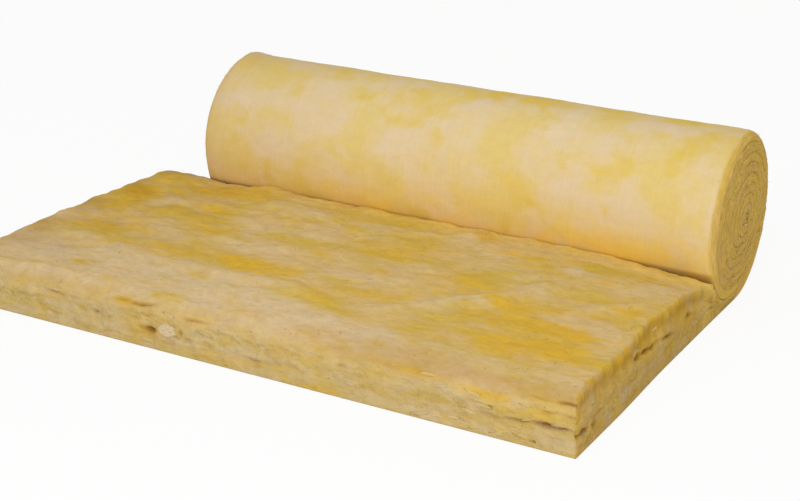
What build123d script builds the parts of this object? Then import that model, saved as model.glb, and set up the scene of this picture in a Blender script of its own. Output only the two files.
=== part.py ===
from build123d import *
from math import asin, cos, degrees, floor, radians, sin
import os

# A partly unrolled roll of glass wool blanket, made as one continuous piece.
# Its free end lies flat at full loft, and the rest is wound tight behind it.
# +X runs along the roll's axis, +Y from the free edge towards the roll, +Z up.
# The origin is on the floor, under the middle of the whole piece.
# All sizes are in millimetres and all angles in degrees.

# Blanket
blanket_width = 1200.0  # across the blanket, along the roll's axis
loft = 100.0  # thickness where the blanket lies free
flat_run = 766.0  # from the free edge to the roll's lowest line

# Roll
roll_radius = 162.5
floor_press = 1.0  # the roll's weight flattens its lowest line by this much
turn_thickness = 19.0  # one wound turn, pressed to about a fifth of its loft
roll_left_inset = 90.0  # the roll's left end stands in from the blanket's left edge
right_rim_round = 20.0  # soft outer edge of the roll's right end
left_rim_round = 15.0  # soft outer edge of the roll's left end
right_end_bulge = 9.0  # the middle of the right end stands out this far past its rim

# Edges of the flat blanket
front_round = 42.0  # free edge, along the top
side_round = 13.0  # top edges along both sides
corner_round = 20.0  # both corners of the free edge, seen from above

# Fall of the blanket's top into the crease in front of the roll
crest_gap = 23.5  # the top starts to fall this far in front of the roll's foremost line
packed_share = 0.85  # the wool fills the room in front of the roll to this share of the loft

# Seams between the turns, which show on both ends as one spiral
tightest_turn = 28.5  # radius of the smallest full turn, inside it there is only the eye
closing_share = 0.6  # each turn closes in on the next by an arc of this share of its radius
seam_depth = 10.0
seam_floor_width = 3.0
seam_mouth_width = 8.0
seam_mouth_rise = 2.0  # the mouth lies this far outside the end's highest point

# Places that follow from the sizes above
left = -(blanket_width + right_end_bulge) / 2
right = left + blanket_width
roll_left = left + roll_left_inset
free_edge = -(flat_run + roll_radius) / 2
roll_line = free_edge + flat_run  # the roll rests on the floor along this line
crest = roll_line - roll_radius - crest_gap
axis_height = roll_radius - floor_press
full_turns = 1 + floor((roll_radius - tightest_turn) / turn_thickness)

# Angles round the roll, counted from the back over the top
back_bottom = -90.0
top = 90.0
front = 180.0
front_bottom = 270.0
crease = front + degrees(asin((axis_height - loft) / roll_radius))  # level with the blanket's top


def turn_shape(number):
    """A turn's radius, its closing arc's radius and centre, and the angle where that arc starts."""
    radius = roll_radius - number * turn_thickness
    closing_radius = closing_share * radius
    reach = radius - closing_radius
    closing_angle = front + degrees(asin(1 - turn_thickness / reach))
    closing_y = roll_line + reach * cos(radians(closing_angle))
    closing_z = axis_height + reach * sin(radians(closing_angle))
    return radius, closing_radius, (closing_y, closing_z), closing_angle


def wound_roll():
    """The roll as one turned body, with soft rims and a slightly bulging right end."""
    rim_height = axis_height + roll_radius
    with BuildPart() as roll:
        with BuildSketch(Plane.XZ.offset(-roll_line)):
            with BuildLine():
                left_low = (roll_left, rim_height - left_rim_round)
                left_high = (roll_left + left_rim_round, rim_height)
                right_high = (right - right_rim_round, rim_height)
                right_low = (right, rim_height - right_rim_round)
                right_middle = (right + right_end_bulge, axis_height)
                RadiusArc(left_low, left_high, left_rim_round)
                Line(left_high, right_high)
                RadiusArc(right_high, right_low, right_rim_round)
                Polyline(right_low, right_middle, (roll_left, axis_height), left_low)
            make_face()
        revolve(axis=Axis((0, roll_line, axis_height), (1, 0, 0)))
    return roll.part


def blanket_side():
    """Side view of the flat blanket, with the rounded tail that shows beside the roll's left end."""
    with BuildSketch() as side:
        with BuildLine():
            front_low = (free_edge, loft - front_round)
            front_high = (free_edge + front_round, loft)
            tail = (crest + loft, 0)
            RadiusArc(front_low, front_high, front_round)
            Line(front_high, (crest, loft))
            RadiusArc((crest, loft), tail, loft)
            Polyline(tail, (free_edge, 0), front_low)
        make_face()
    return side.sketch


def packed_side():
    """Side view of the wool pressed in between the blanket's tail, the floor and the roll."""
    radius, closing_radius, closing_centre, closing_angle = turn_shape(0)
    closing_turn = front_bottom - closing_angle
    packed_height = packed_share * loft
    with BuildSketch() as packed:
        with Locations((crest, 0)):
            Rectangle(roll_line - crest, packed_height, align=(Align.MIN, Align.MIN))
        with BuildLine():
            lower_front = CenterArc((roll_line, axis_height), radius, top, closing_angle - top)
            closing = CenterArc(closing_centre, closing_radius, closing_angle, closing_turn)
            Polyline(closing @ 1, (roll_line, turn_thickness - floor_press), lower_front @ 0)
        make_face(mode=Mode.SUBTRACT)
    return packed.sketch


def run_across(side_view, start, end):
    """A side view drawn out across the blanket, from one place along X to another."""
    return extrude(Plane.YZ.offset(start) * side_view, end - start)


def blanket_room():
    """The room inside the blanket's rounded top edges and its rounded front corners."""
    with BuildSketch(Plane.XZ) as across:
        with BuildLine():
            left_low = (left, loft - side_round)
            left_high = (left + side_round, loft)
            right_high = (right - side_round, loft)
            right_low = (right, loft - side_round)
            RadiusArc(left_low, left_high, side_round)
            Line(left_high, right_high)
            RadiusArc(right_high, right_low, side_round)
            Polyline(right_low, (right, 0), (left, 0), left_low)
        make_face()
    with BuildSketch() as above:
        with BuildLine():
            left_back = (left, free_edge + corner_round)
            left_front = (left + corner_round, free_edge)
            right_front = (right - corner_round, free_edge)
            right_back = (right, free_edge + corner_round)
            RadiusArc(left_back, left_front, -corner_round)
            Line(left_front, right_front)
            RadiusArc(right_front, right_back, -corner_round)
            Polyline(right_back, (right, roll_line), (left, roll_line), left_back)
        make_face()
    lengthways = extrude(across.sketch, roll_line - free_edge, both=True)
    return lengthways & extrude(above.sketch, loft)


def seam_profile(end_face, outside, centre, radius, angle):
    """The seam's narrow floor and wide mouth, across the turn at one angle round its centre."""
    floor_x = end_face - outside * seam_depth
    mouth_x = end_face + outside * (right_end_bulge + seam_mouth_rise)
    corners = [
        (floor_x, -seam_floor_width / 2),
        (floor_x, seam_floor_width / 2),
        (mouth_x, seam_mouth_width / 2),
        (mouth_x, -seam_mouth_width / 2),
    ]
    points = []
    for x, offset in corners:
        y = centre[0] + (radius + offset) * cos(radians(angle))
        z = centre[1] + (radius + offset) * sin(radians(angle))
        points.append((x, y, z))
    return make_face(Polyline(*points, close=True))


def seam_arc(end_face, outside, centre, radius, start, end):
    """Part of the seam that runs on an arc, between two angles round the arc's centre."""
    profile = seam_profile(end_face, outside, centre, radius, start)
    return revolve(profile, Axis((0, centre[0], centre[1]), (1, 0, 0)), end - start)


def seam_run(end_face, outside, centre, radius):
    """The straight part of the seam, from the closing arc's end to the roll's lowest line."""
    profile = seam_profile(end_face, outside, centre, radius, front_bottom)
    return extrude(profile, roll_line - centre[0], dir=(0, 1, 0))


def spiral_seam(end_face, outside):
    """The whole seam on one end, from the crease through every turn to the eye."""
    axis = (roll_line, axis_height)
    pieces = []
    for number in range(full_turns):
        radius, closing_radius, closing_centre, closing_angle = turn_shape(number)
        start = crease if number == 0 else back_bottom
        pieces.append(seam_arc(end_face, outside, axis, radius, start, closing_angle))
        pieces.append(seam_arc(end_face, outside, closing_centre, closing_radius, closing_angle, front_bottom))
        pieces.append(seam_run(end_face, outside, closing_centre, closing_radius))
    eye_radius = roll_radius - full_turns * turn_thickness
    pieces.append(seam_arc(end_face, outside, axis, eye_radius, back_bottom, top))
    return pieces


def roll_on_floor():
    """The roll cut off flat by the floor, with the seam on its left end."""
    on_floor = (Align.CENTER, Align.CENTER, Align.MIN)
    above_floor = Pos(0, roll_line, 0) * Box(2 * blanket_width, 4 * roll_radius, 2 * roll_radius, align=on_floor)
    return (wound_roll() & above_floor) - spiral_seam(roll_left, -1)


def whole_blanket():
    """The flat blanket and the roll as one solid. The blanket fills the left seam where it covers it."""
    side = blanket_side()
    beside_roll = run_across(side, left, roll_left)
    before_roll = run_across(side + packed_side(), roll_left, right)
    flat = (beside_roll + before_roll) & blanket_room()
    return flat + roll_on_floor()


blanket = whole_blanket() - spiral_seam(right, 1)
os.makedirs("parts", exist_ok=True)
export_step(blanket, "parts/glass_wool_blanket.step")
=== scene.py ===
import math
import random
from collections import namedtuple

import bmesh
import bpy
from mathutils import Matrix, Vector, noise


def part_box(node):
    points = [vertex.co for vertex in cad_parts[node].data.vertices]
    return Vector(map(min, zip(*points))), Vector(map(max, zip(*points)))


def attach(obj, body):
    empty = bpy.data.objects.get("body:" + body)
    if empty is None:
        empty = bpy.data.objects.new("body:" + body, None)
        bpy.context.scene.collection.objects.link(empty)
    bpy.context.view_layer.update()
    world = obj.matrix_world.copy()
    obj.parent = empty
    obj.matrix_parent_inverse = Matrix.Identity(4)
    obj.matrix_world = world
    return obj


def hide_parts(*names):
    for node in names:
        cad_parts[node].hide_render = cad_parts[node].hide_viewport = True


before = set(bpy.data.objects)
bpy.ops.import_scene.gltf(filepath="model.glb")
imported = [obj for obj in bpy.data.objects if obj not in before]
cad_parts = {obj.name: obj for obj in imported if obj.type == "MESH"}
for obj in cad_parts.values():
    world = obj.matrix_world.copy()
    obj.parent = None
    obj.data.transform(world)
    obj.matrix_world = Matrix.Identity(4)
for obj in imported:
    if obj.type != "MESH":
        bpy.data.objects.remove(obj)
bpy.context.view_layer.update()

# A partly unrolled roll of glass wool. All sizes are in metres, and angles are in degrees
# unless a comment says otherwise. X runs along the roll, Y from the free edge to the roll, Z up.

# Sizes of the solid
BLANKET_WIDTH = 1.200
LOFT = 0.100
FLAT_RUN = 0.766
ROLL_RADIUS = 0.1625
FLOOR_PRESS = 0.001
TURN = 0.019
ROLL_LEFT_INSET = 0.090
RIGHT_RIM_ROUND = 0.020
LEFT_RIM_ROUND = 0.015
END_BULGE = 0.009
CREST_GAP = 0.0235
CLOSING_SHARE = 0.6
FULL_TURNS = 8

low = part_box("glass_wool_blanket")[0]
LEFT = low.x
RIGHT = LEFT + BLANKET_WIDTH
ROLL_LEFT = LEFT + ROLL_LEFT_INSET
FREE_EDGE = low.y
ROLL_LINE = FREE_EDGE + FLAT_RUN
CREST = ROLL_LINE - ROLL_RADIUS - CREST_GAP
AXIS_HEIGHT = ROLL_RADIUS - FLOOR_PRESS

# Angles round the roll, counted from the back over the top
BACK_BOTTOM = -90.0
TOP = 90.0
FRONT = 180.0
FRONT_BOTTOM = 270.0


# Small helpers

def ease(value, start, end):
    """Goes smoothly from 0 at start to 1 at end."""
    t = min(max((value - start) / (end - start), 0.0), 1.0)
    return t * t * (3.0 - 2.0 * t)


def bell(value, width):
    """1 at nothing, falling smoothly to almost 0 at twice the width."""
    return math.exp(-((value / width) ** 2))


def rough(x, y, z, octaves=3):
    """Wool's unevenness, between about -1 and 1. A place times 5 has about 5 lumps in a metre."""
    return noise.fractal(Vector((x, y, z)), 1.0, 2.1, octaves)


def round_off(a, b, radius_a, radius_b):
    """Rounds the edge between two faces, for a point at distances a and b from them."""
    if a >= radius_a or b >= radius_b:
        return a, b
    p, q = 1.0 - a / radius_a, 1.0 - b / radius_b
    share = max(p, q) / math.hypot(p, q)
    return radius_a * (1.0 - p * share), radius_b * (1.0 - q * share)


def between(stops, place):
    """Reads a list of (place, value, ...) stops, straight between its neighbours."""
    for before, after in zip(stops, stops[1:]):
        if place <= after[0]:
            break
    t = (place - before[0]) / (after[0] - before[0])
    return [a + (b - a) * t for a, b in zip(before[1:], after[1:])]


def give_attributes(mesh, values):
    """Writes point attributes for the materials: numbers, one number for all, or vectors for lay."""
    for name, numbers in values.items():
        if isinstance(numbers, float):
            numbers = [numbers] * len(mesh.vertices)
        if name == "lay":
            layer = mesh.attributes.new(name, "FLOAT_VECTOR", "POINT")
            layer.data.foreach_set("vector", [c for v in numbers for c in v])
        else:
            layer = mesh.attributes.new(name, "FLOAT", "POINT")
            layer.data.foreach_set("value", numbers)


def finish_piece(name, bm, values, material):
    """Makes the piece, which stands for the solid blanket and rides with it."""
    mesh = bpy.data.meshes.new(name)
    bm.to_mesh(mesh)
    bm.free()
    give_attributes(mesh, values)
    mesh.shade_smooth()
    mesh.materials.append(material)
    piece = bpy.data.objects.new(name, mesh)
    bpy.context.scene.collection.objects.link(piece)
    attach(piece, "root")
    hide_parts("glass_wool_blanket")
    return piece


# Turns of the roll, as the solid has them

def on_turn(number, angle, run=0.0):
    """A point on a turn's outer face and the way out from it, in the YZ plane.

    The angle goes from the bottom, over the back, the top and the front, to the bottom again.
    From there run goes from 0 to 1 along the straight bit to the roll's lowest line.
    """
    radius = ROLL_RADIUS - number * TURN
    closing = CLOSING_SHARE * radius
    reach = radius - closing
    closing_start = FRONT + math.degrees(math.asin(max(-1.0, 1.0 - TURN / reach)))
    way_y, way_z = math.cos(math.radians(angle)), math.sin(math.radians(angle))
    if angle <= closing_start:
        return ROLL_LINE + radius * way_y, AXIS_HEIGHT + radius * way_z, way_y, way_z
    centre_y = ROLL_LINE + reach * math.cos(math.radians(closing_start))
    centre_z = AXIS_HEIGHT + reach * math.sin(math.radians(closing_start))
    y = centre_y + closing * way_y
    z = centre_z + closing * way_z
    return y + run * (ROLL_LINE - y), z, way_y, way_z


def turn_stations(number, step):
    """The angles and runs at which a turn is cut, about one step apart along the wool."""
    count = max(20, round(2.0 * math.pi * (ROLL_RADIUS - number * TURN) / step))
    stations = [(BACK_BOTTOM + 360.0 * i / count, 0.0) for i in range(count)]
    straight = max(1, round((ROLL_LINE - on_turn(number, FRONT_BOTTOM)[0]) / step))
    return stations + [(FRONT_BOTTOM, i / straight) for i in range(straight)]


# Camera, at the place and lens that the photograph was taken with

CAMERA_FROM_LEFT = 1.9915  # from the blanket's left edge
CAMERA_BEFORE = 2.0025  # in front of the free edge
CAMERA_HEIGHT = 1.0909
CAMERA_TURN = 0.5009  # to the left of straight ahead, in radians
CAMERA_DIP = 0.3450  # down from level, in radians
CAMERA_LEAN = 0.0222  # in radians
LENS = 71.7  # in millimetres, for a picture of the width below
PICTURE_WIDTH = 36.0


def add_camera():
    """Looks down at the part from its front right."""
    data = bpy.data.cameras.new("camera")
    data.sensor_width = PICTURE_WIDTH
    data.lens = LENS
    camera = bpy.data.objects.new("camera", data)
    bpy.context.scene.collection.objects.link(camera)
    place = Vector((LEFT + CAMERA_FROM_LEFT, FREE_EDGE - CAMERA_BEFORE, CAMERA_HEIGHT))
    turn = Matrix.Rotation(CAMERA_TURN, 4, "Z")
    tilt = Matrix.Rotation(math.radians(90.0) - CAMERA_DIP, 4, "X")
    lean = Matrix.Rotation(CAMERA_LEAN, 4, "Z")
    camera.matrix_world = Matrix.Translation(place) @ turn @ tilt @ lean
    bpy.context.scene.camera = camera


# Light and floor of the studio

SOFT_STRENGTH = 0.62  # light from all round
SOFT_COLOUR = (1.0, 0.99, 0.97, 1.0)
KEY_PLACE = (RIGHT + 0.3, FREE_EDGE - 2.1, 1.95)
KEY_TARGET = (0.0, 0.1, 0.1)
KEY_WIDTH = 1.6
KEY_WATTS = 40.0
KEY_COLOUR = (1.0, 0.98, 0.95)
FLOOR_REACH = 12.0
FLOOR_COLOUR = (0.95, 0.95, 0.95, 1.0)
FLOOR_GLOW = 0.90  # the camera sees the floor as plain white to this share


def add_key_lamp():
    """One large soft lamp, above the camera and to its left."""
    data = bpy.data.lights.new("key", "AREA")
    data.shape = "DISK"
    data.size = KEY_WIDTH
    data.energy = KEY_WATTS
    data.color = KEY_COLOUR
    lamp = bpy.data.objects.new("key", data)
    bpy.context.scene.collection.objects.link(lamp)
    lamp.location = KEY_PLACE
    aim = Vector(KEY_TARGET) - Vector(KEY_PLACE)
    lamp.rotation_euler = aim.to_track_quat("-Z", "Y").to_euler()


def add_world():
    """Soft light from all round, which the camera and glossy surfaces see as plain white."""
    world = bpy.data.worlds.new("studio")
    world.use_nodes = True
    bpy.context.scene.world = world
    nodes, links = world.node_tree.nodes, world.node_tree.links
    nodes.clear()
    rays = nodes.new("ShaderNodeLightPath")
    seen = nodes.new("ShaderNodeMath")
    seen.operation = "MAXIMUM"
    links.new(rays.outputs["Is Camera Ray"], seen.inputs[0])
    links.new(rays.outputs["Is Glossy Ray"], seen.inputs[1])
    white = nodes.new("ShaderNodeBackground")
    white.inputs["Strength"].default_value = 1.0
    soft = nodes.new("ShaderNodeBackground")
    soft.inputs["Color"].default_value = SOFT_COLOUR
    soft.inputs["Strength"].default_value = SOFT_STRENGTH
    mix = nodes.new("ShaderNodeMixShader")
    out = nodes.new("ShaderNodeOutputWorld")
    links.new(seen.outputs[0], mix.inputs[0])
    links.new(soft.outputs[0], mix.inputs[1])
    links.new(white.outputs[0], mix.inputs[2])
    links.new(mix.outputs[0], out.inputs[0])


def add_floor():
    """A wide pale floor that keeps a soft shadow."""
    mesh = bpy.data.meshes.new("floor")
    bm = bmesh.new()
    bmesh.ops.create_grid(bm, x_segments=1, y_segments=1, size=FLOOR_REACH)
    bm.to_mesh(mesh)
    bm.free()
    floor = bpy.data.objects.new("floor", mesh)
    bpy.context.scene.collection.objects.link(floor)
    material = bpy.data.materials.new("pale_floor")
    material.use_nodes = True
    nodes, links = material.node_tree.nodes, material.node_tree.links
    nodes.clear()
    rays = nodes.new("ShaderNodeLightPath")
    share = nodes.new("ShaderNodeMath")
    share.operation = "MULTIPLY"
    share.inputs[1].default_value = FLOOR_GLOW
    paint = nodes.new("ShaderNodeBsdfDiffuse")
    paint.inputs["Color"].default_value = FLOOR_COLOUR
    glow = nodes.new("ShaderNodeEmission")
    mix = nodes.new("ShaderNodeMixShader")
    out = nodes.new("ShaderNodeOutputMaterial")
    links.new(rays.outputs["Is Camera Ray"], share.inputs[0])
    links.new(share.outputs[0], mix.inputs[0])
    links.new(paint.outputs[0], mix.inputs[1])
    links.new(glow.outputs[0], mix.inputs[2])
    links.new(mix.outputs[0], out.inputs[0])
    mesh.materials.append(material)


# Flat part of the blanket

# Cuts across the block that the flat part is shaped from
WIDTH_CUTS = 299
LENGTH_CUTS = 189
HEIGHT_CUTS = 45
NEAR_SIDE = 0.020  # this far in from both sides the cuts lie closer
WIDTH_STOPS = [(0.0, 0.0), (0.03, NEAR_SIDE), (0.97, BLANKET_WIDTH - NEAR_SIDE), (1.0, BLANKET_WIDTH)]
TINY = 1e-6  # far less than the space between two cuts

# Lengths along the blanket's top are counted from the free edge
FLAT_LENGTH = CREST - FREE_EDGE
CREASE_ANGLE = 205.8  # round the roll, where the blanket's top meets it
CREASE_LENGTH = FLAT_LENGTH + 0.040  # the same place, along the blanket's top
CREST_SWING = 23.6  # degrees by which the top turns down from the crest to the crease
SKIN_GAP = 0.001  # under the roll the blanket's top keeps this far outside the roll's skin
BEHIND_LINE = 0.004  # and it ends this far behind the roll's lowest line
TAIL_END = 0.002  # height of the blanket's tail where it ends beside the roll
TAIL_TO_ROLL = (ROLL_LEFT_INSET - 0.009, ROLL_LEFT_INSET - 0.001)  # here the tail gives way to the roll
FLAT_BACK = ROLL_LEFT_INSET + 0.004  # to the right of this the back is one plain hidden face

# Rounded and ragged edges
CORNER_ROUND = (0.005, 0.006)  # upright front corners, along the width and the length
SIDE_ROUND = 0.007  # along the top of both sides
SIDE_ROUND_LOST = 0.0055  # the right side's round shrinks by this much beside the roll
FLOOR_ROUND = 0.0015  # along the floor
FRONT_DROP = 0.040  # the free edge's round reaches this far down
FOOT_BULGE = 0.004  # the free edge and the sides spread this far along the floor
RAGGED_LEFT = 0.005  # the top of each side leans in by about this much
RAGGED_RIGHT = 0.015

# Torn wool on the cut faces
FACE_REACH = 0.004  # what lies this close to a cut face belongs to it
LAYER = 0.011  # thickness of the layers that the wool tears into
LEDGE = 0.0024  # how far the layers' ledges stand out
CLUMP = 0.0034  # and clumps on them
GRIT = 0.0018  # and the finest unevenness
DARK_DEPTH = 0.008  # a split this deep is in full shade
CORNER_SPLIT = 0.02  # a split that starts nearer to the corner than this runs out through it
RECESS_SHADE = 0.40  # between the ledges

# Relief of the top: half heights of lumps, puffs, streaks and of the swells along the crease
LUMP = 0.0042
PUFF = 0.0045
LEFT_PUFF = 0.0035  # more than that on the left
LEFT_RISE = 0.0035  # the left edge stands this much higher
STREAK = 0.0006
SWELL = 0.0040
RIPPLE = 0.0048
RIGHT_SINK = 0.014  # the crease sinks this far towards the right side

# Painted shade, paleness and painted bounce light of the flat part, where 1 is full
LEFT_SHADE = 0.17  # fading over the left half
LEFT_EDGE_SHADE = 0.10  # and more at the very edge
TURNING_SHADE = 0.14  # where the free edge turns down
TURNING_SHADE_RIGHT = 0.28  # and more on the right
SIDE_SHADE = 0.16
SIDE_BAND_SHADE = 0.40  # of the band that runs along the side
SIDE_BAND_HEIGHT = 0.083
CREASE_SHADE = 0.80
ROLLED_PALE = 0.9  # along the rolled free edge
RIDGE_PALE = 110.0  # for each metre of a fold's height
# painted bounce light: the top turns brighter and more saturated towards the crease, where light bounces
# between roll and blanket
CREASE_BOUNCE = 0.75
SIDE_DEEP = 0.5

# Open splits and layer edges: face, start and end along it, heights there, depth, half width.
# Along the free edge they are counted from the left, along the right side from the free edge.
SPLITS = [
    ("front", 1.070, 1.205, 0.036, 0.043, 0.008, 0.0019),
    ("front", 1.120, 1.205, 0.080, 0.083, 0.005, 0.0022),
    ("front", 1.140, 1.205, 0.062, 0.064, 0.004, 0.0024),
    ("front", 0.780, 0.830, 0.052, 0.056, 0.005, 0.0024),
    ("front", 0.390, 0.425, 0.035, 0.033, 0.005, 0.0028),
    ("front", 0.470, 0.560, 0.068, 0.071, 0.006, 0.0026),
    ("front", 0.330, 0.420, 0.074, 0.078, 0.006, 0.0026),
    ("front", 0.160, 0.250, 0.060, 0.058, 0.005, 0.0026),
    ("front", 0.060, 0.140, 0.036, 0.040, 0.005, 0.0026),
    ("front", 0.600, 0.660, 0.030, 0.028, 0.004, 0.0026),
    ("side", 0.240, 0.430, 0.070, 0.050, 0.007, 0.0026),
    ("side", 0.010, 0.075, 0.033, 0.027, 0.005, 0.0026),
    ("side", 0.120, 0.260, 0.036, 0.040, 0.003, 0.0024),
    ("side", 0.480, 0.520, 0.060, 0.062, 0.004, 0.0026),
    ("left", 0.080, 0.200, 0.040, 0.046, 0.007, 0.0030),
    ("left", 0.300, 0.450, 0.066, 0.058, 0.006, 0.0030),
    ("left", 0.420, 0.520, 0.030, 0.032, 0.005, 0.0028),
]

# Small holes: face, place along it, height, reach along, reach up and depth
PITS = [
    ("front", 0.413, 0.034, 0.010, 0.005, 0.011),
    ("front", 0.294, 0.042, 0.004, 0.003, 0.005),
    ("front", 0.323, 0.039, 0.004, 0.003, 0.004),
    ("front", 0.476, 0.042, 0.004, 0.005, 0.006),
    ("front", 1.150, 0.041, 0.011, 0.003, 0.008),
    ("side", 0.257, 0.067, 0.010, 0.004, 0.009),
    ("side", 0.498, 0.061, 0.006, 0.004, 0.006),
    ("side", 0.067, 0.027, 0.010, 0.006, 0.006),
    ("side", 0.028, 0.031, 0.008, 0.005, 0.005),
]

# Soft folds in the top: two ends, height and half width
FOLDS = [
    (0.78, 0.14, 0.93, 0.30, 0.0075, 0.020),
    (0.93, 0.30, 0.99, 0.42, 0.0065, 0.022),
    (0.30, 0.14, 0.62, 0.15, 0.0060, 0.022),
    (0.08, 0.17, 0.30, 0.15, 0.0050, 0.022),
    (0.62, 0.50, 0.76, 0.56, 0.0040, 0.012),
    (0.45, 0.30, 0.60, 0.34, 0.0040, 0.020),
    (0.14, 0.30, 0.30, 0.26, 0.0050, 0.022),
    (0.10, 0.40, 0.26, 0.44, 0.0050, 0.018),
    (0.30, 0.52, 0.46, 0.50, 0.0040, 0.018),
    (1.06, 0.32, 1.16, 0.40, 0.0040, 0.018),
    (0.60, 0.24, 0.76, 0.28, 0.0035, 0.016),
]

# Deeper yellow patches in the top: middle, reach along X and Y, and strength
DEEP_PATCHES = [
    (0.22, 0.55, 0.080, 0.035, 1.0),
    (0.14, 0.51, 0.080, 0.040, 0.8),
    (0.06, 0.42, 0.040, 0.120, 0.9),
    (0.25, 0.43, 0.060, 0.030, 0.5),
    (0.31, 0.32, 0.060, 0.030, 0.5),
    (0.10, 0.25, 0.060, 0.040, 0.6),
    (0.28, 0.19, 0.080, 0.030, 0.5),
    (0.50, 0.21, 0.090, 0.035, 0.9),
    (0.72, 0.20, 0.100, 0.040, 0.6),
    (0.66, 0.41, 0.090, 0.030, 0.5),
    (0.83, 0.33, 0.060, 0.040, 0.5),
    (0.97, 0.29, 0.070, 0.030, 0.8),
    (1.04, 0.22, 0.120, 0.040, 1.0),
    (1.05, 0.14, 0.110, 0.060, 1.0),
    (1.13, 0.34, 0.060, 0.070, 0.5),
    (0.62, 0.60, 0.350, 0.030, 0.3),
]

# Deeper patches in the cut faces: middle along the face and up it, reach each way, and strength
CUT_PATCHES = {
    "front": [
        (1.045, 0.067, 0.050, 0.010, 1.0),
        (0.930, 0.076, 0.080, 0.009, 0.7),
        (1.140, 0.082, 0.035, 0.007, 0.5),
        (1.100, 0.050, 0.060, 0.006, 0.5),
        (0.880, 0.036, 0.060, 0.007, 0.5),
        (0.700, 0.052, 0.060, 0.008, 0.4),
        (0.500, 0.070, 0.040, 0.006, 0.2),
        (0.360, 0.076, 0.040, 0.007, 0.3),
        (0.170, 0.052, 0.050, 0.008, 0.5),
        (0.600, 0.020, 0.090, 0.008, 0.5),
    ],
    "side": [
        (0.303, 0.061, 0.045, 0.012, 0.9),
        (0.140, 0.052, 0.060, 0.010, 0.6),
        (0.450, 0.040, 0.060, 0.012, 0.5),
        (0.060, 0.016, 0.050, 0.010, 0.5),
    ],
    "left": [
        (0.250, 0.050, 0.080, 0.014, 0.6),
        (0.480, 0.060, 0.070, 0.012, 0.6),
    ],
}

# Paler patches in the top: middle, reach along X and Y, and strength
PALE_PATCHES = [
    (0.83, 0.20, 0.060, 0.030, 0.8),
    (0.89, 0.26, 0.050, 0.025, 0.8),
    (0.95, 0.36, 0.045, 0.035, 0.8),
    (0.59, 0.50, 0.060, 0.020, 0.7),
    (0.84, 0.44, 0.070, 0.022, 0.7),
    (0.94, 0.41, 0.060, 0.022, 0.8),
    (0.16, 0.27, 0.050, 0.018, 0.6),
    (0.40, 0.30, 0.100, 0.025, 0.6),
    (0.45, 0.40, 0.090, 0.020, 0.5),
    (1.12, 0.46, 0.050, 0.040, 0.6),
    (1.16, 0.20, 0.035, 0.060, 0.6),
    (0.35, 0.50, 0.080, 0.020, 0.5),
]


def under_roll_profile():
    """The blanket's top from the crest down into the crease and on under the roll, by length."""
    fall_steps, roll_steps = 11, 30
    points = []
    for i in range(fall_steps + 1):
        angle = math.radians(TOP - CREST_SWING * i / fall_steps)
        points.append((CREST + LOFT * math.cos(angle), LOFT * math.sin(angle)))
    for i in range(1, roll_steps + 1):
        angle = CREASE_ANGLE + (FRONT_BOTTOM - CREASE_ANGLE) * i / roll_steps
        y, z, way_y, way_z = on_turn(0, angle)
        points.append((y + SKIN_GAP * way_y, z + SKIN_GAP * way_z))
    points.append((ROLL_LINE + BEHIND_LINE, points[-1][1]))
    stops, length = [(0.0, *points[0])], 0.0
    for a, b in zip(points, points[1:]):
        length += math.dist(a, b)
        stops.append((length, *b))
    return stops


UNDER_ROLL = under_roll_profile()
FALL_LENGTH = UNDER_ROLL[-1][0]
LENGTH_STOPS = [(0.0, 0.0), (0.14, 0.065), (0.78, FLAT_LENGTH), (1.0, FLAT_LENGTH + FALL_LENGTH)]


def crease_wave(x):
    """How the blanket's top swells and sinks along the crease."""
    wave = SWELL * rough(x * 5.0, 3.1, 0.0) + RIPPLE * rough(x * 17.0, 8.2, 0.0, 4)
    dip = -0.010 * bell(x - 0.150, 0.045) + 0.006 * bell(x - 0.280, 0.060)
    return wave + dip - RIGHT_SINK * ease(x, 1.00, 1.20)


def fold_height(x, s):
    """How high the soft folds stand at a place on the blanket's top."""
    total = 0.0
    for x0, s0, x1, s1, height, half_width in FOLDS:
        along = Vector((x1 - x0, s1 - s0))
        here = Vector((x - x0, s - s0))
        t = here.dot(along) / along.length_squared
        if -0.25 < t < 1.25:
            off = (here - along * t).length + 0.012 * rough(x * 13.0, s * 13.0, 6.1)
            total += height * bell(off, half_width) * ease(t, -0.25, 0.2) * (1.0 - ease(t, 0.8, 1.25))
    return total


def top_relief(x, s, folds):
    """Lumps, streaks and folds of the blanket's free top, for a place on it."""
    lumps = LUMP * rough(x * 5.0, s * 7.0, 1.7) + LEFT_RISE * (1.0 - ease(x, 0.0, 0.10))
    puffy = PUFF + LEFT_PUFF * (1.0 - ease(x, 0.25, 0.60)) * ease(s, 0.15, 0.35) * ease(x, 0.02, 0.08)
    puffs = puffy * (abs(rough(x * 11.0, s * 17.0, 4.4, 2)) - 0.22)
    streaks = STREAK * rough(x * 22.0, s * 60.0 + 2.0 * rough(x * 6.0, s * 6.0, 2.0), 7.9)
    free = 1.0 - ease(s, FLAT_LENGTH - 0.02, FLAT_LENGTH + 0.05)
    near_roll = ease(s, 0.46, 0.59) * (1.0 - ease(s, CREASE_LENGTH + 0.005, CREASE_LENGTH + 0.050))
    return (lumps + puffs + streaks + folds) * free + crease_wave(x) * near_roll


def patch_strength(patches, x, s):
    """How strongly a place on the blanket lies inside the patches."""
    strengths = [strength * bell(math.hypot((x - middle_x) / reach_x, (s - middle_s) / reach_s), 1.0)
                 for middle_x, middle_s, reach_x, reach_s, strength in patches]
    return max(strengths)


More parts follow.
